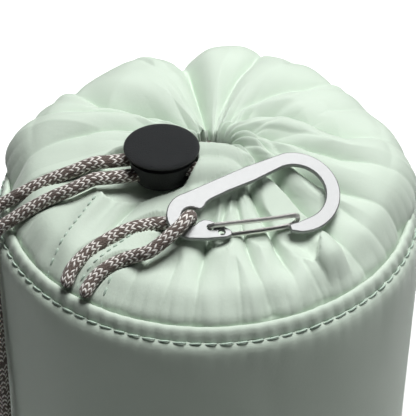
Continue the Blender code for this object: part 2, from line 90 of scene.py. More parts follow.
def above_seam(x, y, z):
    """A place in millimetres from the middle of the rim seam."""
    return Vector((x, y, z)) * MM + Vector((0, 0, SEAM_HEIGHT))


def smooth_route(points, spacing):
    """Evenly spaced places on a smooth curve through the given points."""
    knots = [points[0] * 2 - points[1]] + list(points) + [points[-1] * 2 - points[-2]]
    fine = []
    for a, b, c, d in zip(knots, knots[1:], knots[2:], knots[3:]):
        for step in range(STEPS_BETWEEN_POINTS):
            t = step / STEPS_BETWEEN_POINTS
            bend = (c - a) * t + (2 * a - 5 * b + 4 * c - d) * t * t + (3 * b - a - 3 * c + d) * t**3
            fine.append(b + 0.5 * bend)
    fine.append(knots[-2])
    run = np.concatenate([[0], np.cumsum([(b - a).length for a, b in zip(fine, fine[1:])])])
    wanted = np.linspace(0, run[-1], max(2, round(run[-1] / spacing)) + 1)
    flat = np.array([tuple(p) for p in fine])
    return [Vector([np.interp(w, run, flat[:, axis]) for axis in range(3)]) for w in wanted]


def put(name, mesh, material, body="bag"):
    """Adds a finished mesh as a piece that rides on a body."""
    piece = bpy.data.objects.new(name, mesh)
    bpy.context.scene.collection.objects.link(piece)
    mesh.materials.append(material)
    mesh.shade_smooth()
    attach(piece, body)
    return piece


def grid_mesh(name, places, run=None):
    """A mesh from a grid of places (rows, columns, 3), closed round each row, with its run as UVs."""
    rows, columns = places.shape[:2]
    mesh = bpy.data.meshes.new(name)
    across = np.arange(columns)
    row = np.arange(rows - 1)[:, None]
    right = (across + 1) % columns
    below, above = row * columns, (row + 1) * columns
    faces = np.stack([below + across, below + right, above + right, above + across], axis=-1).reshape(-1, 4)
    mesh.from_pydata(places.reshape(-1, 3).tolist(), [], faces.tolist())
    if run is not None:
        around, along = run
        uv = np.zeros((rows - 1, columns, 4, 2))
        uv[..., 0, 0] = uv[..., 3, 0] = around[across]
        uv[..., 1, 0] = uv[..., 2, 0] = around[across + 1]
        uv[..., 0, 1] = uv[..., 1, 1] = along[:-1, None]
        uv[..., 2, 1] = uv[..., 3, 1] = along[1:, None]
        mesh.uv_layers.new(name="run").data.foreach_set("uv", uv.ravel())
    return mesh


def tube_rings(route, radius, sides):
    """Rings of places round a route, carried along it without twist. The radius may be one per place."""
    radius = np.broadcast_to(radius, len(route))
    side = (route[1] - route[0]).orthogonal().normalized()
    rings = np.zeros((len(route), sides, 3))
    for i, place in enumerate(route):
        along = (route[min(i + 1, len(route) - 1)] - route[max(i - 1, 0)]).normalized()
        side = (side - along * side.dot(along)).normalized()
        other = along.cross(side)
        for j in range(sides):
            turn = 2 * math.pi * j / sides
            rings[i, j] = place + (side * math.cos(turn) + other * math.sin(turn)) * radius[i]
    return rings


def make_material(name):
    """A new material, with its node tree and its surface shader."""
    material = bpy.data.materials.new(name)
    material.use_nodes = True
    return material, material.node_tree, material.node_tree.nodes["Principled BSDF"]


def number(tree, operation, *inputs):
    """One step of arithmetic on values in a material."""
    node = tree.nodes.new("ShaderNodeMath")
    node.operation = operation
    for socket, value in zip(node.inputs, inputs):
        if isinstance(value, (int, float)):
            socket.default_value = value
        else:
            tree.links.new(value, socket)
    return node.outputs[0]


def blend_colours(tree, share, first, second):
    """A colour between two others. The share runs from 0 to 1."""
    node = tree.nodes.new("ShaderNodeMix")
    node.data_type = "RGBA"
    tree.links.new(share, node.inputs["Factor"])
    node.inputs["A"].default_value = first
    node.inputs["B"].default_value = second
    return node.outputs["Result"]


def raise_surface(tree, shader, height, distance):
    """Gives a material fine relief, so many metres high."""
    bump = tree.nodes.new("ShaderNodeBump")
    bump.inputs["Distance"].default_value = distance
    bump.inputs["Strength"].default_value = 1.0
    tree.links.new(height, bump.inputs["Height"])
    tree.links.new(bump.outputs["Normal"], shader.inputs["Normal"])


def noise(tree, scale, detail=2.0, roughness=0.5):
    """An uneven value between 0 and 1, with so many lumps to the metre."""
    place = tree.nodes.new("ShaderNodeTexCoord")
    cloud = tree.nodes.new("ShaderNodeTexNoise")
    cloud.inputs["Scale"].default_value = scale
    cloud.inputs["Detail"].default_value = detail
    cloud.inputs["Roughness"].default_value = roughness
    tree.links.new(place.outputs["Object"], cloud.inputs["Vector"])
    return cloud.outputs["Fac"]


def braid_material():
    """Strands cross in V shapes: columns run along the cord, and neighbours lean opposite ways.

    Every other strand is light, and some of the light ones are missing, as in a tracer braid. Low relief gets
    painted shade.
    """
    material, tree, shader = make_material("braided_cord")
    place = tree.nodes.new("ShaderNodeUVMap")
    place.uv_map = "run"
    split = tree.nodes.new("ShaderNodeSeparateXYZ")
    tree.links.new(place.outputs[0], split.inputs[0])
    column = number(tree, "MULTIPLY", split.outputs[0], BRAID_STRANDS)
    which = number(tree, "FLOOR", column)
    across = number(tree, "SUBTRACT", number(tree, "FRACT", column), 0.5)
    odd = number(tree, "MODULO", which, 2.0)
    lean = number(tree, "SUBTRACT", 1.0, number(tree, "MULTIPLY", odd, 2.0))
    row = number(tree, "DIVIDE", split.outputs[1], BRAID_PITCH)
    row = number(tree, "ADD", row, number(tree, "MULTIPLY", lean, across))
    row = number(tree, "ADD", row, number(tree, "MULTIPLY", noise(tree, 300), 0.5))
    along = number(tree, "FRACT", row)
    step = number(tree, "FLOOR", row)
    pair = number(tree, "FLOOR", number(tree, "MULTIPLY", which, 0.5))
    turn = number(tree, "ADD", step, pair)
    light = number(tree, "LESS_THAN", number(tree, "MODULO", number(tree, "ABSOLUTE", turn), 2.0), 1.0)
    extra = number(tree, "SINE", number(tree, "ADD", number(tree, "MULTIPLY", turn, 5.3), which))
    light = number(tree, "MULTIPLY", light, number(tree, "LESS_THAN", extra, 0.8))
    low = number(tree, "ABSOLUTE", number(tree, "SUBTRACT", along, 0.5))
    low = number(tree, "POWER", low, 2.0)
    round_along = number(tree, "SUBTRACT", 1.0, number(tree, "MULTIPLY", low, 4.0))
    edge = number(tree, "POWER", number(tree, "ABSOLUTE", across), 2.0)
    round_across = number(tree, "SUBTRACT", 1.0, number(tree, "MULTIPLY", edge, 3.4))
    height = number(tree, "MULTIPLY", round_along, round_across)
    face = number(tree, "GREATER_THAN", height, 0.12)
    fibre = noise(tree, 4200, 3, 0.6)
    strand = blend_colours(tree, number(tree, "MULTIPLY", light, face), CORD_DARK, CORD_LIGHT)
    # Fibre noise varies the tone at random. The strand's relief also scales the colour, as painted shade:
    # darker where a strand dips under its neighbours, lighter on its crown.
    shade = number(tree, "ADD", number(tree, "MULTIPLY", fibre, 0.7), 0.6)
    shade = number(tree, "MULTIPLY", shade, number(tree, "ADD", number(tree, "MULTIPLY", height, 0.45), 0.7))
    tint = tree.nodes.new("ShaderNodeVectorMath")
    tint.operation = "SCALE"
    tree.links.new(strand, tint.inputs[0])
    tree.links.new(shade, tint.inputs["Scale"])
    tree.links.new(tint.outputs[0], shader.inputs["Base Color"])
    shader.inputs["Roughness"].default_value = 0.78
    shader.inputs["Sheen Weight"].default_value = 0.25
    raise_surface(tree, shader, height, 0.22 * MM)
    return material


braided_cord = braid_material()


def cord_piece(name, route):
    """A braided tube with rounded ends."""
    places = smooth_route(route, CORD_STEP)
    sizes = np.full(len(places), CORD_DIAMETER / 2)
    for i, share in enumerate(END_ROUNDING):
        sizes[i] = sizes[-1 - i] = CORD_DIAMETER / 2 * share
    rings = tube_rings(places, sizes, CORD_SIDES)
    around = np.linspace(0, 1, CORD_SIDES + 1)
    along = np.linspace(0, (len(places) - 1) * CORD_STEP, len(places))
    return put(name, grid_mesh(name, rings, run=(around, along)), braided_cord)


# The middle of the mouth, and the lock's place and the slope of its axis, in millimetres above the seam
MOUTH = Vector((1.7, -3.2, 21.4))
CASING_RADIUS = 10.5
LOCK_X, LOCK_Y, LOCK_BOTTOM = -17, -16.7, 24.6
LOCK_LEAN = 0.05
LOCK_CLIMB = 0.105
STRAND_HEIGHT = 31.0
STRAND_OFFSET = 4.9


def casing_place(degrees):
    """A place on the ring that the drawstring makes inside the casing."""
    angle = math.radians(degrees)
    x = MOUTH.x + CASING_RADIUS * math.cos(angle)
    y = MOUTH.y + CASING_RADIUS * math.sin(angle)
    return above_seam(x, y, MOUTH.z)


def strand_place(side, along):
    """A place on a strand in the lock, so far to the right of the lock's axis."""
    away = Vector((-LOCK_LEAN, 1, 0)).normalized() * side * STRAND_OFFSET
    height = STRAND_HEIGHT + along * LOCK_CLIMB
    return above_seam(LOCK_X + away.x + along, LOCK_Y + away.y + along * LOCK_LEAN, height)


# Each tail starts a little way along the casing from where the ring ends
BACK_EXIT, FRONT_EXIT = 20, 250
exit_gap = math.degrees(0.9 / CASING_RADIUS)
exit_run = math.degrees(2.5 / CASING_RADIUS)
back_route = [casing_place(BACK_EXIT - exit_gap), casing_place(BACK_EXIT - exit_run)]
back_route += [above_seam(12.2, -4.8, 23.0), above_seam(10.6, -8.2, 27.6), above_seam(5.0, -10.3, 31.6)]
back_route += [strand_place(1, along) for along in (16, 12, 4, -4, -12, -20, -25)]
back_route += [
    above_seam(-49.5, -13.8, 25.4),
    above_seam(-58.2, -13.6, 21.2),
    above_seam(-67.9, -14.2, 15.9),
    above_seam(-74.5, -13.6, 11.0),
    above_seam(-79.6, -13.7, 7.4),
    above_seam(-83.0, -14.1, 2.0),
    above_seam(-84.2, -14.6, -7),
    above_seam(-84.0, -15.3, -30),
    above_seam(-83.8, -16.4, -75),
    above_seam(-84.6, -16.0, -120),
    above_seam(-84.6, -14.6, -160),
    above_seam(-86.2, -16.6, -195),
    above_seam(-88.4, -18.4, -218.8),
]
front_route = [casing_place(FRONT_EXIT + exit_gap), casing_place(FRONT_EXIT + exit_run)]
front_route += [above_seam(3.8, -13.9, 23.4), above_seam(6.6, -15.8, 27.8), above_seam(4.8, -19.6, 31.6)]
front_route += [strand_place(-1, along) for along in (15, 12, 4, -4, -12, -20, -25)]
front_route += [
    above_seam(-49.0, -24.2, 25.2),
    above_seam(-57.7, -23.6, 20.2),
    above_seam(-67.0, -24.4, 14.6),
    above_seam(-73.2, -25.0, 10.2),
    above_seam(-77.6, -25.3, 6.6),
    above_seam(-80.4, -25.6, 1.0),
    above_seam(-81.2, -25.8, -8),
    above_seam(-81.2, -25.4, -30),
    above_seam(-80.6, -27.4, -75),
    above_seam(-81.4, -27.6, -120),
    above_seam(-81.6, -27.6, -160),
    above_seam(-84.0, -25.6, -195),
    above_seam(-87.2, -24.6, -218.8),
]

# The flat plate of the carabiner, which the loop cord goes round
plate_normal = Vector((0.109, -0.404, 0.908)).normalized()
plate_across = Vector((0.993, 0.0, -0.119))
plate_across = (plate_across - plate_normal * plate_across.dot(plate_normal)).normalized()
plate_turn = Matrix((plate_across, plate_normal.cross(plate_across), plate_normal)).transposed().to_4x4()
plate_place = Matrix.Translation(above_seam(16.22, -32.3, 28.4)) @ plate_turn
BAR_CENTRE = Vector((-24.9, -16.3, 0))
BAR_TURN_RADIUS = 5.6
loop_route = [
    above_seam(-50.4, -59.2, 8.0),
    above_seam(-48.6, -54.8, 11.8),
    above_seam(-44.5, -50.2, 14.6),
    above_seam(-37.8, -46.0, 17.6),
    above_seam(-28.7, -41.8, 20.4),
    above_seam(-20.5, -39.6, 21.2),
]
for place in ((-30.0, -11.2, -5.7), (-26.0, -11.2, -4.6), (-23.4, -11.2, -3.3), (-22.3, -11.3, -1.7)):
    loop_route.append(plate_place @ (Vector(place) * MM))
for degrees in (0, 25, 50, 75, 100):
    angle = math.radians(degrees)
    offset = Vector((0.5, 0.866, 0)).normalized() * math.cos(angle) + Vector((0, 0, 1)) * math.sin(angle)
    loop_route.append(plate_place @ ((BAR_CENTRE + offset * BAR_TURN_RADIUS) * MM))
loop_route += [
    above_seam(-12.6, -52.6, 27.4),
    above_seam(-16.4, -54.6, 24.8),
    above_seam(-20.3, -56.1, 22.3),
    above_seam(-24.4, -55.2, 19.8),
    above_seam(-29.5, -54.4, 17.1),
    above_seam(-35.1, -56.0, 14.9),
    above_seam(-39.6, -58.8, 12.4),
    above_seam(-42.3, -62.0, 10.1),
    above_seam(-43.7, -64.6, 8.1),
]
tail_back = cord_piece("tail_back", back_route)
tail_front = cord_piece("tail_front", front_route)
loop = cord_piece("carabiner_loop", loop_route)
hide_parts("drawstring_tail_back")
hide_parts("drawstring_tail_front")
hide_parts("loop_cord")
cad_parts["drawstring_ring"].data.materials[0] = braided_cord


# --- End knot ---
# The two ends of the drawstring are tied together in one overhand knot, and its short ends are melted so
# that the braid doesn't open.
KNOT_STEPS = 14
KNOT_STEP_TURN = 40
KNOT_HALF_DEPTH, KNOT_HALF_WIDTH = 5.4, 7.2
knot_middle = above_seam(-88.0, -21.5, -227.7)
for side in (-1, 1):
    wrap = [above_seam(-87.8 + 0.6 * side, -21.5 + side * 3.1, -218.6)]
    for step in range(KNOT_STEPS):
        turn = math.radians(90 * side + side * step * KNOT_STEP_TURN)
        height = 3.6 - step * 0.62 + 1.8 * math.cos(turn * 2)
        out = Vector((KNOT_HALF_DEPTH * math.cos(turn), KNOT_HALF_WIDTH * math.sin(turn), height)) * MM
        wrap.append(knot_middle + out)
    wrap.append(knot_middle + Vector((1.2, side * 3.4, -7.5)) * MM)
    wrap.append(knot_middle + Vector((side * 1.4, side * 4.3, -15)) * MM)
    wrap.append(knot_middle + Vector((side * 1.5, side * 4.6, -22.5)) * MM)
    cord_piece("knot_wrap_back" if side > 0 else "knot_wrap_front", wrap)
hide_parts("end_knot")


# --- Gathered collar ---
# A band of the same thin nylon, sewn to the wall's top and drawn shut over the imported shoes. It puffs out
# in big soft lobes, and the drawstring crushes its edge into tight pleats round a small dark mouth.
MINT = (0.655, 0.752, 0.650)
MINT_WORN = (0.622, 0.728, 0.618)
WEAVE_PITCH = 0.42 * MM
SEAM_RADIUS = 80.0
SEAM_LENGTH = 0.503


def nylon_material(name, tone=1.0):
    """Plain-weave nylon: fine crossing threads, a faint cloudy tone and a soft sheen."""
    material, tree, shader = make_material(name)
    place = tree.nodes.new("ShaderNodeUVMap")
    place.uv_map = "run"
    split = tree.nodes.new("ShaderNodeSeparateXYZ")
    tree.links.new(place.outputs[0], split.inputs[0])
    threads = 2 * math.pi / WEAVE_PITCH
    warp = number(tree, "SINE", number(tree, "MULTIPLY", split.outputs[0], threads))
    weft = number(tree, "SINE", number(tree, "MULTIPLY", split.outputs[1], threads))
    weave = number(tree, "MULTIPLY", warp, weft)
    cloud = noise(tree, 55, 3, 0.6)
    slub = noise(tree, 900, 2, 0.7)
    light = tuple(c * tone for c in MINT) + (1,)
    worn = tuple(c * tone for c in MINT_WORN) + (1,)
    tree.links.new(blend_colours(tree, cloud, light, worn), shader.inputs["Base Color"])
    rough = number(tree, "ADD", number(tree, "MULTIPLY", slub, 0.18), 0.46)
    tree.links.new(rough, shader.inputs["Roughness"])
    shader.inputs["Sheen Weight"].default_value = 0.22
    shader.inputs["Sheen Roughness"].default_value = 0.45
    shader.inputs["Specular IOR Level"].default_value = 0.35
    height = number(tree, "ADD", number(tree, "MULTIPLY", weave, 0.5), number(tree, "MULTIPLY", slub, 1.6))
    raise_surface(tree, shader, height, 0.05 * MM)
    return material


mint_nylon = nylon_material("mint_nylon")

# Where the cloth is tucked in: each fold line runs from the rim to the mouth, as (radius, degrees), with
# its depth and half width in millimetres
FOLD_LINES = [
    ([(76, 8), (60, 10), (50, 11), (40, 19), (34, 29), (27, 42), (18, 54), (9, 62)], 5.5, 4.5),
    ([(76, 28), (66, 27), (56, 24), (47, 24)], 1.6, 3.0),
    ([(76, 49), (62, 43), (50, 45), (38, 53), (24, 64), (10, 74)], 3.6, 3.8),
    ([(76, 62), (66, 60), (56, 58)], 1.4, 2.4),
    ([(76, 84), (64, 72), (52, 72), (36, 78), (22, 84), (10, 87)], 4.4, 3.6),
    ([(76, 101), (62, 100), (46, 99), (30, 98), (10, 98)], 7.5, 4.6),
    ([(76, 118), (66, 118), (50, 116)], 1.5, 3.0),
    ([(76, 132), (62, 145), (48, 148), (38, 143), (28, 134), (18, 124), (9, 112)], 6.0, 4.2),
    ([(76, 158), (62, 161), (50, 158), (36, 150), (22, 138)], 3.0, 3.0),
    ([(76, 180), (62, 177), (46, 172), (32, 164), (20, 154)], 3.4, 3.2),
    ([(76, 204), (60, 203), (46, 201), (34, 200)], 2.6, 2.8),
    ([(76, 229), (62, 229), (48, 227), (36, 226)], 2.4, 2.6),
    ([(76, 246), (60, 247), (46, 249), (34, 252)], 2.8, 2.4),
    ([(76, 256), (64, 257), (54, 258)], 1.8, 1.9),
    ([(76, 266), (60, 267), (44, 270), (30, 274)], 3.4, 2.6),
    ([(44, 275), (34, 278), (24, 284), (14, 296)], 3.0, 1.8),
    ([(76, 279), (66, 279), (56, 280)], 2.2, 1.7),
    ([(76, 288), (60, 286), (44, 286), (30, 288), (18, 300)], 3.2, 2.2),
    ([(66, 297), (50, 298), (38, 300), (26, 304), (15, 318), (8, 335)], 5.0, 3.0),
    ([(76, 304), (66, 303), (58, 303)], 2.2, 1.8),
    ([(76, 320), (62, 318), (46, 318), (34, 321), (22, 330), (13, 345), (8, 358)], 4.6, 2.6),
    ([(76, 331), (64, 329), (52, 330)], 2.2, 2.0),
    ([(76, 342), (60, 339), (44, 337), (30, 341), (20, 352), (12, 368), (8, 378)], 4.0, 2.8),
    ([(76, 356), (62, 354), (48, 353), (36, 357), (26, 366), (16, 380), (9, 392)], 3.4, 2.8),
]

# Folds that stand up: the roll beside the carabiner and the rolls round the mouth
RAISED_FOLDS = [
    ([(68, 311), (56, 311), (44, 311), (33, 311)], 5.0, 3.6),
    ([(30, 300), (20, 314), (13, 330), (9, 345)], 2.6, 2.6),
    ([(36, 330), (24, 342), (15, 358), (10, 372)], 3.0, 3.0),
    ([(40, 12), (30, 24), (20, 40), (12, 52)], 3.0, 4.0),
]

# The collar's outline from the rim over the dome and down into the mouth, as (radius, height)
SEGMENTS = 900
ROWS = 150
COLLAR_RADIUS = 76
profile = np.array([
    (76.0, 0.4), (76.0, 3.6), (75.6, 6.6), (73.8, 9.7), (70, 13.4), (65, 16.9), (60, 19.7), (50, 23.6),
    (40, 26.0), (30, 27.4), (22, 28.1), (16, 29.4), (12, 30.6), (9.8, 30.0), (8.2, 27.4), (7.2, 22.0),
    (6.8, 12), (6.6, 0), (6.5, -12),
])


def along_profile(outline, count):
    """Evenly spaced places on a smooth curve through (radius, height) points."""
    route = smooth_route([Vector((r, z, 0)) for r, z in outline], 0.05)
    picked = np.linspace(0, len(route) - 1, count).round().astype(int)
    return np.array([(route[i].x, route[i].y) for i in picked])


def wave(angle, seed, parts=((3, 0.5), (7, 0.3), (13, 0.2))):
    """An uneven ripple round a circle, between about -1 and 1."""
    return sum(size * np.sin(n * angle + seed * n * 1.7 + n) for n, size in parts)


line = along_profile(profile, ROWS)
radius = line[:, :1]
angle = np.linspace(0, 2 * math.pi, SEGMENTS, endpoint=False)[None, :]
tangent = np.gradient(line, axis=0)
tangent /= np.linalg.norm(tangent, axis=1, keepdims=True)
out_r = tangent[:, 1:]
out_z = -tangent[:, :1]
degrees = np.degrees(angle)


def ease(share):
    """A smooth step from 0 to 1."""
    share = np.clip(share, 0, 1)
    return share * share * (3 - 2 * share)


def line_distance(places):
    """How far each place is from a fold line, round the circle, and how much of the line reaches there."""
    reach = np.array(places, float)[::-1]
    at = np.interp(radius[:, 0], reach[:, 0], reach[:, 1])[:, None]
    gap = (degrees - at + 180) % 360 - 180
    inner, outer = reach[0, 0], reach[-1, 0]
    fade_in = ease((radius - inner + 8) / 14) if inner > 12 else 1.0
    fade_out = ease((outer + 8 - radius) / 14) if outer < 74 else 1.0
    return np.radians(gap) * np.maximum(radius, 6), fade_in * fade_out


# Folds fade out towards the rim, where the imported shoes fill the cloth, and crowd together at the mouth
FOLD_GAIN, FOLD_SPREAD = 1.35, 1.55
CREASE_DEPTH, CREASE_WIDTH = 0.42, 0.42
FOLD_FADE_START, FOLD_FADE_LENGTH, FOLD_FADE = 46, 22, 0.72
wobble = 0.8 * wave(angle, 1.3) * np.sin(radius / 9.0) + 0.5 * wave(angle, 4.1, ((11, 0.6), (19, 0.4)))
tuck = np.zeros((ROWS, SEGMENTS))
crease = np.zeros((ROWS, SEGMENTS))
for places, depth, width in FOLD_LINES:
    gap, reach = line_distance(places)
    gap = gap + wobble
    near_mouth = np.clip(radius / 26, 0.3, 1)
    reach = reach * (1 - FOLD_FADE * ease((radius - FOLD_FADE_START) / FOLD_FADE_LENGTH))
    wide = width * near_mouth * FOLD_SPREAD
    deep = FOLD_GAIN * reach * depth * np.clip(radius / 18, 0.45, 1)
    tuck = np.maximum(tuck, deep * np.exp(-np.abs(gap / wide) ** 1.15))
    sharp = reach * CREASE_DEPTH * depth * np.exp(-np.abs(gap / (width * near_mouth * CREASE_WIDTH)))
    crease = np.maximum(crease, sharp)

# The deepest fold, at the back, runs on over the dome's edge
BACK_NOTCH, BACK_NOTCH_DEPTH, BACK_NOTCH_WIDTH = 101, 8.5, 7.5
back_gap = np.radians(degrees - BACK_NOTCH) * radius
back_notch = BACK_NOTCH_DEPTH * np.exp(-np.abs(back_gap / BACK_NOTCH_WIDTH) ** 1.3) * ease((radius - 34) / 14)
tuck = np.maximum(tuck, back_notch)
lift = np.zeros((ROWS, SEGMENTS))
for places, height, width in RAISED_FOLDS:
    gap, reach = line_distance(places)
    rolled = np.sqrt(np.clip(1 - (gap / (width * 1.5)) ** 2, 0, 1))
    lift = np.maximum(lift, reach * height * rolled)

# Pleats crushed into the mouth turn to the right as they go in, and the rim seam puckers the outer edge.
# Each count is the number of pleats round the circle.
MOUTH_PLEATS, FINE_PLEATS, RIM_PUCKERS = 15, 35, 91
MOUTH_TWIST = math.radians(26)
swirl = MOUTH_TWIST * np.exp(-(radius - 6) / 11) * (0.5 - 0.5 * np.cos(angle - math.radians(120)))
turned = angle - swirl + 0.05 * wave(angle, 2.2)
pleats = np.abs(np.sin(MOUTH_PLEATS / 2 * turned + 1.3 * wave(turned, 0.7))) ** 0.7 - 0.6
pleat_size = 3.0 * np.exp(-((radius - 8) / 9) ** 2)
fine = np.abs(np.sin(FINE_PLEATS / 2 * turned + 2.0 * wave(turned, 5.1) + radius * 0.03)) ** 0.9 - 0.6
fine_size = 0.7 * np.exp(-((radius - 22) / 13) ** 2)
pucker = np.abs(np.sin(RIM_PUCKERS / 2 * angle + 1.8 * wave(angle, 3.3))) - 0.6
pucker_size = 0.55 * ease((radius - 64) / 12) * (0.6 + 0.4 * wave(angle, 8.0))
ripple = 0.6 * np.sin(radius / 4.2 + 6 * wave(angle, 6.4)) * wave(angle, 9.2, ((5, 0.5), (9, 0.5)))
ripple = ripple + 0.8 * np.sin(radius / 9.5 + 4 * wave(angle, 2.7)) * wave(angle, 3.8, ((8, 0.5), (13, 0.5)))

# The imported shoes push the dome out, most at the back and at the two sides, where it hangs over the rim.
# The lists give degrees round the circle, and millimetres there.
EDGE_HEIGHT = 0.4
DOME_ONLY = 40
BACK_RISE = 6.7
puff = 3.2 * ease((75.8 - radius) / 12) * ease((radius - 8) / 14)
full = np.interp(
    degrees,
    (0, 15, 30, 60, 90, 125, 150, 168, 186, 230, 325, 345, 360),
    (6, 4, 2, 3.5, 3, 1.5, 3.5, 6, 0, 0, 0, 4, 6),
)
shoulder = full * np.sin(math.pi * np.clip(radius / COLLAR_RADIUS, 0, 1) ** 2.4)
overhang = np.interp(degrees, (0, 20, 38, 138, 152, 168, 179, 343, 360), (5, 3, 0, 0, 2.5, 5, 0, 0, 5))
over_rim = np.sin(math.pi * np.clip((line[:, 1:] - EDGE_HEIGHT) / 17, 0, 1))
overhang = overhang * over_rim * (radius > DOME_ONLY)
move = overhang + puff + shoulder - tuck - crease + lift
move = move + pleats * pleat_size + fine * fine_size + pucker * pucker_size + ripple
mouth_hold = np.where(radius > DOME_ONLY, 1, np.clip((line[:, 1:] - 2) / 14, 0, 1))
edge_hold = np.clip((line[:, 1:] - EDGE_HEIGHT) / 5, 0, 1) * mouth_hold
move = move * edge_hold

share = radius / COLLAR_RADIUS
ring_radius = radius + move * out_r
x = MOUTH.x * (1 - share) + ring_radius * np.cos(angle)
y = MOUTH.y * (1 - share) + ring_radius * np.sin(angle)
z = line[:, 1:] + move * out_z
z = z + BACK_RISE * np.sin(math.pi * np.clip(share, 0, 1) ** 2) * np.sin(angle)

# The cloth gives way to what lies on it: this far from a cord's middle, and nowhere else
NO_LIMIT = 1e3
CORD_ROOM = 3.0


def soft_under(height, limit, width):
    """Keeps the cloth under a limit, with a rounded turn into it."""
    over = height - limit + width
    return np.where(over > 0, limit - width + width * (1 - np.exp(-np.maximum(over, 0) / width)), height)


def press_cord(height, route):
    """Lowers the cloth where a cord lies on it."""
    limit = np.full(height.shape, NO_LIMIT)
    for place in smooth_route(route, 1.5 * MM):
        px, py, pz = place.x / MM, place.y / MM, (place.z - SEAM_HEIGHT) / MM
        if pz < -2:
            continue
        apart = (x - px) ** 2 + (y - py) ** 2
        bed = pz - np.sqrt(np.clip(CORD_ROOM**2 - apart, 0, None))
        limit = np.where(apart < CORD_ROOM**2, np.minimum(limit, bed), limit)
    return np.where(limit < NO_LIMIT / 2, soft_under(height, limit, 0.6), height)


# The collar's lip covers the two cords where they come up out of the casing
lip_places = [place for route in (back_route, front_route) for place in smooth_route(route[2:7], 1 * MM)]
wrap_route = [above_seam(5.5, -19.0, 29.8), above_seam(1, -24.5, 28.4), above_seam(-4.5, -29.0, 26.4)]
lip_places += smooth_route(wrap_route + [above_seam(-10, -31.5, 24.2), above_seam(-16, -32.4, 22.6)], 1 * MM)
LIP_END, LIP_THICKNESS, LIP_WIDTH, LIP_FALL = -4.5, 3.4, 10, 0.12
lip = np.full(z.shape, -NO_LIMIT)
for place in lip_places:
    px, py, pz = place.x / MM, place.y / MM, (place.z - SEAM_HEIGHT) / MM
    if px < LIP_END:
        continue
    apart = (x - px) ** 2 + (y - py) ** 2
    lip = np.maximum(lip, np.where(apart < LIP_WIDTH**2, pz + LIP_THICKNESS - LIP_FALL * apart, -NO_LIMIT))
joined_up = 0.5 * (z + lip + np.sqrt((z - lip) ** 2 + 1.5)) - 0.1
z = np.where((radius > 5.4) & (lip > 0), np.maximum(z, joined_up), z)

# The hollow that the lock lies in, as long as its way along the cords
LOCK_TRAVEL = 12
HOLLOW_FLOOR, HOLLOW_RADIUS, HOLLOW_DEPTH = 24.2, 12.5, 11.5
HOLLOW_EDGE, HOLLOW_REACH = 14.2, 20
way = Vector((-0.993305, -0.049665, -0.104297)) * LOCK_TRAVEL
run_x, run_y = x - LOCK_X, y - LOCK_Y
along_way = (run_x * way.x + run_y * way.y) / (way.x**2 + way.y**2)
run_share = np.clip(along_way, 0, 1)
from_lock = np.hypot(run_x - run_share * way.x, run_y - run_share * way.y)
floor_height = HOLLOW_FLOOR + way.z * np.clip(along_way + 1.1, 0, 1)
wall_rise = ease((from_lock - HOLLOW_RADIUS) / 1.2) * HOLLOW_DEPTH
wall_rise = wall_rise + np.clip(from_lock - HOLLOW_EDGE, 0, None) * 2
z = np.where(from_lock < HOLLOW_REACH, soft_under(z, floor_height + wall_rise, 0.8), z)

# The cords lie in shallow grooves of their own
for route in (back_route[9:], front_route[9:], loop_route):
    z = press_cord(z, route)

# The cloth stays under the carabiner's plate, and under the sector that the gate sweeps. Along and across
# the plate, its big ring is centred on one place, its small ring on another, and the spine joins them.
PLATE_ROOM, GATE_ROOM = 1.6, 2.4
PIVOT_ALONG, PIVOT_ACROSS = -14.9, -14.6
to_plate = plate_place.inverted()
cloth = np.stack([x * MM, y * MM, z * MM + SEAM_HEIGHT, np.ones_like(x)], -1) @ np.array(to_plate).T
along_plate, across_plate, over_plate = cloth[..., 0] / MM, cloth[..., 1] / MM, cloth[..., 2] / MM
under_big_ring = np.hypot(along_plate - 15.3, across_plate - 3.3) < 18.5
under_small_ring = np.hypot(along_plate + 21.5, across_plate + 10.5) < 11
from_spine = np.abs(across_plate - (0.6 * along_plate + 5.6))
under_spine = (along_plate > -31) & (along_plate < 16) & (from_spine < 9)
under_plate = under_big_ring | under_spine | under_small_ring
from_pivot = np.hypot(along_plate - PIVOT_ALONG, across_plate - PIVOT_ACROSS)
gate_turn = np.degrees(np.arctan2(across_plate - PIVOT_ACROSS, along_plate - PIVOT_ALONG))
under_gate = ease((39 - from_pivot) / 5) * ease((gate_turn + 12) / 14) * ease((60 - gate_turn) / 14)
under_gate = np.maximum(under_gate, ease((9 - from_pivot) / 5))
level = np.where(under_plate | (under_gate > 0), -PLATE_ROOM - GATE_ROOM * under_gate, NO_LIMIT)
z = z + (soft_under(over_plate, level, 0.9) - over_plate) / plate_normal.z

places = np.stack([x * MM, y * MM, z * MM + SEAM_HEIGHT], -1)[::-1]
collar_run = (np.linspace(0, 2 * math.pi * SEAM_RADIUS * MM, SEGMENTS + 1), np.linspace(0, 0.085, ROWS))
collar = put("collar", grid_mesh("collar", places, run=collar_run), mint_nylon)
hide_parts("cap_panel", "casing", "cap_seam")

# --- Rim ---
# The collar's edge is rolled outwards over the wall's top and sewn down with one row of long stitches,
# which pull small puckers into the cloth on both sides.
STITCHES = 91
RIM_SEGMENTS = 1440
RIM_ROWS = 34
rim_profile = along_profile(
    [(75.8, 0.8), (75.7, 3.6), (76.3, 5.0), (77.2, 5.3), (78.2, 4.7), (78.9, 3.4), (79.3, 1.8), (79.5, 0.6),
     (79.4, -0.4)],
    RIM_ROWS,
)
rim_angle = np.linspace(0, 2 * math.pi, RIM_SEGMENTS, endpoint=False)[None, :]
stitch_phase = rim_angle * STITCHES
pull = 0.5 + 0.5 * np.cos(stitch_phase)
rim_share = np.linspace(0, 1, RIM_ROWS)[:, None]
rim_middle = np.sin(math.pi * rim_share)
lumps = 0.22 * wave(rim_angle, 2.9, ((29, 0.4), (47, 0.35), (83, 0.25))) + 0.25 * wave(rim_angle, 6.1)
swell = lumps * rim_middle - 0.35 * pull * np.clip(rim_share * 1.6 - 0.5, 0, 1)
crimp = 0.28 * np.abs(np.sin(stitch_phase / 2 + 1.2 * wave(rim_angle, 1.1))) * rim_share
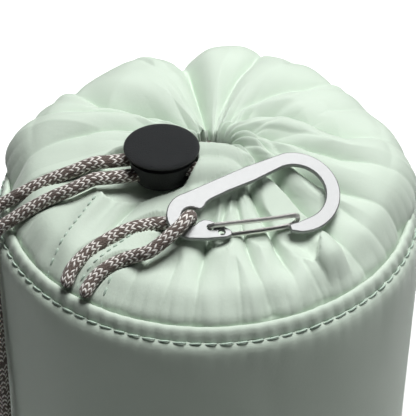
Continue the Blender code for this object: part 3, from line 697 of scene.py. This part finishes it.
rim_r = rim_profile[:, :1] + swell + crimp
rim_z = rim_profile[:, 1:] + 0.4 * swell + 0.3 * wave(rim_angle, 7.7, ((2, 0.5), (5, 0.5))) * rim_middle
rim_x, rim_y = rim_r * np.cos(rim_angle), rim_r * np.sin(rim_angle)
rim_places = np.stack([rim_x * MM, rim_y * MM, rim_z * MM + SEAM_HEIGHT], -1)
rim_run = (np.linspace(0, SEAM_LENGTH, RIM_SEGMENTS + 1), np.linspace(0, 0.011, RIM_ROWS))
rim_mesh = grid_mesh("rim", rim_places[::-1], run=rim_run)
rim = put("rim", rim_mesh, mint_nylon)
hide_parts("rim_fold")

# --- Wall ---
# One piece of thin mint nylon, joined in a felled seam at the back and packed tight. It rounds over into
# the rim seam at the top and into the base seam at the bottom.
WALL_SEGMENTS = 540
WALL_ROWS = 190
WALL_HEIGHT = 305
BACK = math.pi / 2
wall_profile = along_profile(
    [(79.3, 0.3), (80.0, 0.0), (80.9, -0.9), (81.7, -2.6), (82.2, -5.4), (82.4, -10), (82.3, -20), (82, -45),
     (81.6, -90), (81.4, -150), (81.3, -210), (81.2, -260), (80.8, -285), (80.0, -296), (78.9, -301),
     (77.4, -303.6), (76.0, -304.6)],
    WALL_ROWS,
)
wall_angle = np.linspace(0, 2 * math.pi, WALL_SEGMENTS, endpoint=False)[None, :]
drop = -wall_profile[:, 1:]
from_floor = WALL_HEIGHT - drop

# Puckers under the rim stitches, short creases at both ends, and slow bulges and slanting folds between
wall_pull = 0.5 + 0.5 * np.cos(wall_angle * STITCHES)
puckers = np.abs(np.sin(RIM_PUCKERS / 2 * wall_angle + 1.5 * wave(wall_angle, 3.1))) - 0.5
gather = np.exp(-drop / 5.0) * 0.5 * puckers
short = np.exp(-drop / 11.0) * 0.4 * wave(wall_angle, 2.4, ((17, 0.4), (31, 0.35), (44, 0.25)))
foot = np.exp(-from_floor / 18.0) * 0.7 * wave(wall_angle, 5.4, ((14, 0.4), (23, 0.35), (37, 0.25)))
slow = 0.9 * np.sin(drop / 46 + 1.4 * wave(wall_angle, 7.0, ((2, 0.6), (3, 0.4)))) * wave(wall_angle, 1.9)
slant = 0.35 * np.sin(drop / 13 + 5 * wave(wall_angle, 4.6)) * wave(wall_angle, 8.8, ((2, 0.5), (5, 0.5)))
hold = np.clip(drop / 14, 0, 1) * np.clip(from_floor / 12, 0, 1)

# The felled seam at the back stands a cloth's thickness proud, with a groove along its stitching
FELL_HEIGHT, FELL_HALF_WIDTH, GROOVE_WIDTH = 0.45, 8, 0.55
from_seam = (wall_angle - BACK) * SEAM_RADIUS
seam_line = np.exp(-(from_seam / GROOVE_WIDTH) ** 2) * -FELL_HEIGHT
seam_flat = FELL_HEIGHT / (1 + np.exp(np.minimum((np.abs(from_seam) - FELL_HALF_WIDTH) * 3, 60)))
wall_r = wall_profile[:, :1] + gather + short + foot + (slow + slant) * hold + (seam_line + seam_flat) * hold
wall_r -= 0.3 * wall_pull * np.exp(-drop / 1.4)
wall_x, wall_y = wall_r * np.cos(wall_angle), wall_r * np.sin(wall_angle)
wall_z = np.broadcast_to(wall_profile[:, 1:] * MM + SEAM_HEIGHT, wall_r.shape)
wall_places = np.stack([wall_x * MM, wall_y * MM, wall_z], -1)
wall_run = (np.linspace(0, SEAM_LENGTH, WALL_SEGMENTS + 1), np.linspace(0, SEAM_HEIGHT, WALL_ROWS))
wall_mesh = grid_mesh("wall", wall_places[::-1], run=wall_run)
wall = put("wall", wall_mesh, mint_nylon)
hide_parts("side_panel", "side_seam", "base_binding")

# --- Base ---
# A round of the same nylon, sewn in and turned, so that the seam lies just inside the edge. The weight of
# the shoes presses it flat.
BASE_SEGMENTS = 360
BASE_ROWS = 60
base_profile = along_profile(
    [(76.6, 0.9), (75.6, 0.25), (74.4, 0.5), (72.5, 0.1), (60, 0.0), (30, 0.0), (0.4, 0.0)], BASE_ROWS
)
base_angle = np.linspace(0, 2 * math.pi, BASE_SEGMENTS, endpoint=False)[None, :]
base_r = base_profile[:, :1]
base_puckers = 0.25 * np.abs(wave(base_angle, 3.7, ((18, 0.5), (41, 0.5))))
base_z = base_profile[:, 1:] + base_puckers * np.clip((base_r - 58) / 16, 0, 1)
base_x, base_y = base_r * np.cos(base_angle), base_r * np.sin(base_angle)
base_places = np.stack([base_x * MM, base_y * MM, base_z * MM], -1)
base_run = (np.linspace(0, 0.47, BASE_SEGMENTS + 1), np.linspace(0, 0.078, BASE_ROWS))
base = put("base", grid_mesh("base", base_places[::-1], run=base_run), nylon_material("base_nylon", 0.96))
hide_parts("base_panel")

# --- Stitching ---
# Thick polyester thread, a shade greener than the cloth: one row round the rim, and three short straight
# rows on the collar's seams, beside and between the cords.
THREAD_DIAMETER = 0.75
THREAD_SIDES = 8
THREAD_DARK = (0.36, 0.50, 0.40, 1)
THREAD_LIGHT = (0.62, 0.74, 0.64, 1)
thread, tree, shader = make_material("seam_thread")
twist = noise(tree, 2600, 2, 0.6)
tree.links.new(blend_colours(tree, twist, THREAD_DARK, THREAD_LIGHT), shader.inputs["Base Color"])
shader.inputs["Roughness"].default_value = 0.5
shader.inputs["Sheen Weight"].default_value = 0.3
raise_surface(tree, shader, twist, 0.06 * MM)


def stitch_rings(start, end, rise, outward):
    """One stitch: it comes up, lies on the cloth and goes down again."""
    rings = []
    for share in np.linspace(0, 1, 9):
        lift_now = rise * (math.sin(math.pi * share) ** 0.5) - 0.35 * MM
        rings.append(start.lerp(end, share) + outward * lift_now)
    sizes = np.array([0.5, 0.8, 0.95, 1, 1, 1, 0.95, 0.8, 0.5]) * THREAD_DIAMETER / 2 * MM
    return tube_rings(rings, sizes, THREAD_SIDES)


def joined(name, pieces, material):
    """One mesh from many short tubes with the same count of rings and sides."""
    points = []
    faces = []
    for rings in pieces:
        rows, sides = rings.shape[:2]
        start = len(points)
        points += rings.reshape(-1, 3).tolist()
        for i in range(rows - 1):
            for j in range(sides):
                k = (j + 1) % sides
                a, b = start + i * sides, start + (i + 1) * sides
                faces.append((a + j, a + k, b + k, b + j))
        faces.append(tuple(start + j for j in reversed(range(sides))))
        faces.append(tuple(start + (rows - 1) * sides + j for j in range(sides)))
    mesh = bpy.data.meshes.new(name)
    mesh.from_pydata(points, [], faces)
    return put(name, mesh, material)


# The rim's stitches take up four fifths of the row, and each slants a little
STITCH_HALF_SHARE = 0.40
row = []
for i in range(STITCHES):
    middle = 2 * math.pi * (i + 0.5) / STITCHES
    half = 2 * math.pi * STITCH_HALF_SHARE / STITCHES * (1 + 0.08 * math.sin(i * 2.3))
    ends = []
    for turn, height in ((middle - half, 0.0), (middle + half, 0.5)):
        ends.append(above_seam(SEAM_RADIUS * math.cos(turn), SEAM_RADIUS * math.sin(turn), height))
    outward = Vector((math.cos(middle), math.sin(middle), 0.9)).normalized()
    row.append(stitch_rings(ends[0], ends[1], 0.8 * MM, outward))
rim_stitches = joined("rim_stitches", row, thread)


def on_collar(px, py):
    """The height of the collar's cloth above a place, in millimetres above the seam."""
    nearest = np.argmin((x - px) ** 2 + (y - py) ** 2 + np.where(z < 0, 1e4, 0))
    return float(z.ravel()[nearest])


# Each row on the collar, from its start to its end. The first stops short of where the lock slides to.
COLLAR_STITCH_PITCH = 2.6
STITCH_SHARE = 0.66
COLLAR_ROWS = (
    ((-58.0, -50.4), (-40.3, -27.1)),
    ((-47.2, -59.8), (-24.5, -42.5)),
    ((-38, -67.0), (-33.5, -58.5)),
)
seam_rows = []
for start, end in COLLAR_ROWS:
    count = int(math.dist(start, end) / COLLAR_STITCH_PITCH)
    for i in range(count):
        ends = []
        for part in (i / count, (i + STITCH_SHARE) / count):
            px = start[0] + (end[0] - start[0]) * part
            py = start[1] + (end[1] - start[1]) * part
            ends.append(above_seam(px, py, on_collar(px, py) + 0.05))
        seam_rows.append(stitch_rings(ends[0], ends[1], 0.55 * MM, Vector((0, -0.3, 0.95))))
collar_stitches = joined("collar_stitches", seam_rows, thread)

# --- Cord lock ---
# A moulded black cup with two holes for the cord, and a round button on a plunger that a spring pushes up.
# The mould leaves a fine spark-eroded grain.
PLASTIC_DARK = (0.003, 0.004, 0.005, 1)
PLASTIC_LIGHT = (0.024, 0.027, 0.029, 1)
black_plastic, tree, shader = make_material("black_plastic")
grain = noise(tree, 1900, 3, 0.75)
tree.links.new(blend_colours(tree, grain, PLASTIC_DARK, PLASTIC_LIGHT), shader.inputs["Base Color"])
rough = number(tree, "ADD", number(tree, "MULTIPLY", grain, 0.22), 0.36)
tree.links.new(rough, shader.inputs["Roughness"])
raise_surface(tree, shader, grain, 0.9 * MM)
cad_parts["lock_barrel"].data.materials[0] = black_plastic

# The button's top is crowned, and its plunger ends in a flat foot under the cords. Heights are from the
# bottom of the lock, in millimetres.
BUTTON_ROWS = 72
BUTTON_SEGMENTS = 160
CORD_HEIGHT_IN_LOCK = 6.4
FOOT_CLEARANCE = 0.15
PLUNGER_TOP, PLUNGER_WIDTH, PLUNGER_DEPTH = 14.4, 5.0, 4.2
FOOT_WIDTH, FOOT_DEPTH, FOOT_THICKNESS = 4.9, 14.0, 0.6
crown = along_profile(
    [(0.05, 16.4), (3, 16.36), (6, 16.22), (9, 15.96), (11.4, 15.62), (12.8, 15.25), (13.5, 14.85),
     (13.85, 14.35), (13.85, 13.9), (13.6, 13.5), (13.0, 13.4), (9, 13.4), (0.05, 13.4)],
    BUTTON_ROWS,
)
button_angle = np.linspace(0, 2 * math.pi, BUTTON_SEGMENTS, endpoint=False)[None, :]
crown_x, crown_y = crown[:, :1] * np.cos(button_angle), crown[:, :1] * np.sin(button_angle)
crown_places = np.stack([crown_x * MM, crown_y * MM, crown[:, 1:] * MM + 0 * button_angle], -1)
lock_turn = Matrix.Rotation(math.atan(LOCK_LEAN), 4, "Z")
lock_place = Matrix.Translation(above_seam(LOCK_X, LOCK_Y, LOCK_BOTTOM)) @ lock_turn
button_mesh = grid_mesh("button", crown_places[::-1])
button = put("button", button_mesh, black_plastic, "button")
shape = bmesh.new()
shape.from_mesh(button_mesh)
foot_top = CORD_HEIGHT_IN_LOCK - 2.5 - 2.5 * LOCK_CLIMB - FOOT_CLEARANCE
plunger_length = PLUNGER_TOP - foot_top + FOOT_THICKNESS
plunger_middle = (PLUNGER_TOP + foot_top - FOOT_THICKNESS) / 2
for size, centre in (
    ((PLUNGER_WIDTH, PLUNGER_DEPTH, plunger_length), (0, 0, plunger_middle)),
    ((FOOT_WIDTH, FOOT_DEPTH, FOOT_THICKNESS), (0, 0, foot_top - FOOT_THICKNESS / 2)),
):
    block = bmesh.ops.create_cube(shape, size=MM)["verts"]
    bmesh.ops.scale(shape, vec=size, verts=block)
    bmesh.ops.translate(shape, vec=Vector(centre) * MM, verts=block)
    edges = {edge for corner in block for edge in corner.link_edges}
    bmesh.ops.bevel(shape, geom=list(edges), offset=0.15 * MM, segments=2, affect="EDGES")
shape.to_mesh(button_mesh)
shape.free()
button_mesh.transform(lock_place)
button_mesh.shade_smooth()
button_mesh.set_sharp_from_angle(angle=math.radians(40))
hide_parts("lock_button")

# --- Carabiner ---
# A flat D stamped from aluminium and tumbled to a satin face. A bent steel wire, sprung into two holes,
# makes its gate. The lock's coil spring is of the same steel wire.
ALUMINIUM_DARK = (0.30, 0.305, 0.305, 1)
ALUMINIUM_LIGHT = (0.40, 0.405, 0.405, 1)
STEEL_DARK = (0.62, 0.61, 0.58, 1)
STEEL_LIGHT = (0.78, 0.77, 0.74, 1)
aluminium, tree, shader = make_material("satin_aluminium")
tumbled = noise(tree, 1500, 4, 0.7)
tree.links.new(blend_colours(tree, tumbled, ALUMINIUM_DARK, ALUMINIUM_LIGHT), shader.inputs["Base Color"])
shader.inputs["Metallic"].default_value = 0.9
rough = number(tree, "ADD", number(tree, "MULTIPLY", tumbled, 0.2), 0.5)
tree.links.new(rough, shader.inputs["Roughness"])
raise_surface(tree, shader, tumbled, 0.03 * MM)
steel, tree, shader = make_material("steel_wire")
drawn = noise(tree, 700, 3, 0.6)
tree.links.new(blend_colours(tree, drawn, STEEL_DARK, STEEL_LIGHT), shader.inputs["Base Color"])
shader.inputs["Metallic"].default_value = 1.0
rough = number(tree, "ADD", number(tree, "MULTIPLY", drawn, 0.1), 0.3)
tree.links.new(rough, shader.inputs["Roughness"])
raise_surface(tree, shader, drawn, 0.004 * MM)
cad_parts["carabiner_frame"].data.materials[0] = aluminium
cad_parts["gate_wire"].data.materials[0] = steel
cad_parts["lock_spring"].data.materials[0] = steel

# --- Floor and light ---
# A pale paper floor. One soft light hangs above the bag, a second lights the floor behind it, and a weak
# one stands on the right.
FLOOR_HALF_SIZE = 3.0
PAPER_DARK = (0.62, 0.62, 0.62, 1)
PAPER_LIGHT = (0.64, 0.64, 0.64, 1)
floor_shape = bmesh.new()
bmesh.ops.create_grid(floor_shape, x_segments=1, y_segments=1, size=FLOOR_HALF_SIZE)
floor_mesh = bpy.data.meshes.new("floor")
floor_shape.to_mesh(floor_mesh)
floor_shape.free()
floor = bpy.data.objects.new("floor", floor_mesh)
bpy.context.scene.collection.objects.link(floor)
floor.location.z = cad_box[0][2] - 0.0006
paper, tree, shader = make_material("paper")
speck = noise(tree, 400, 2, 0.5)
tree.links.new(blend_colours(tree, speck, PAPER_DARK, PAPER_LIGHT), shader.inputs["Base Color"])
shader.inputs["Roughness"].default_value = 0.9
floor_mesh.materials.append(paper)


def soft_light(name, place, aim, size, power, spread=180):
    """A square soft light, turned to face a place. Its spread is in degrees."""
    lamp = bpy.data.lights.new(name, "AREA")
    lamp.shape = "SQUARE"
    lamp.size = size
    lamp.energy = power
    lamp.spread = math.radians(spread)
    holder = bpy.data.objects.new(name, lamp)
    bpy.context.scene.collection.objects.link(holder)
    turn = (Vector(place) - Vector(aim)).to_track_quat("Z", "Y").to_matrix().to_4x4()
    holder.matrix_world = Matrix.Translation(place) @ turn


soft_light("overhead", (0.16, 0.06, 1.36), (0, 0, 0.30), 0.5, 14)
soft_light("floor_light", (0.0, 0.95, 0.60), (0, 0.62, 0), 0.7, 4.5, 80)
soft_light("right_fill", (1.3, 0.1, 0.8), (0, 0, 0.30), 0.9, 1.4)
world = bpy.data.worlds.new("studio")
world.use_nodes = True
world.node_tree.nodes["Background"].inputs["Color"].default_value = (0.94, 0.97, 1.0, 1)
world.node_tree.nodes["Background"].inputs["Strength"].default_value = 0.03
bpy.context.scene.world = world
bpy.context.scene.view_settings.view_transform = "Standard"
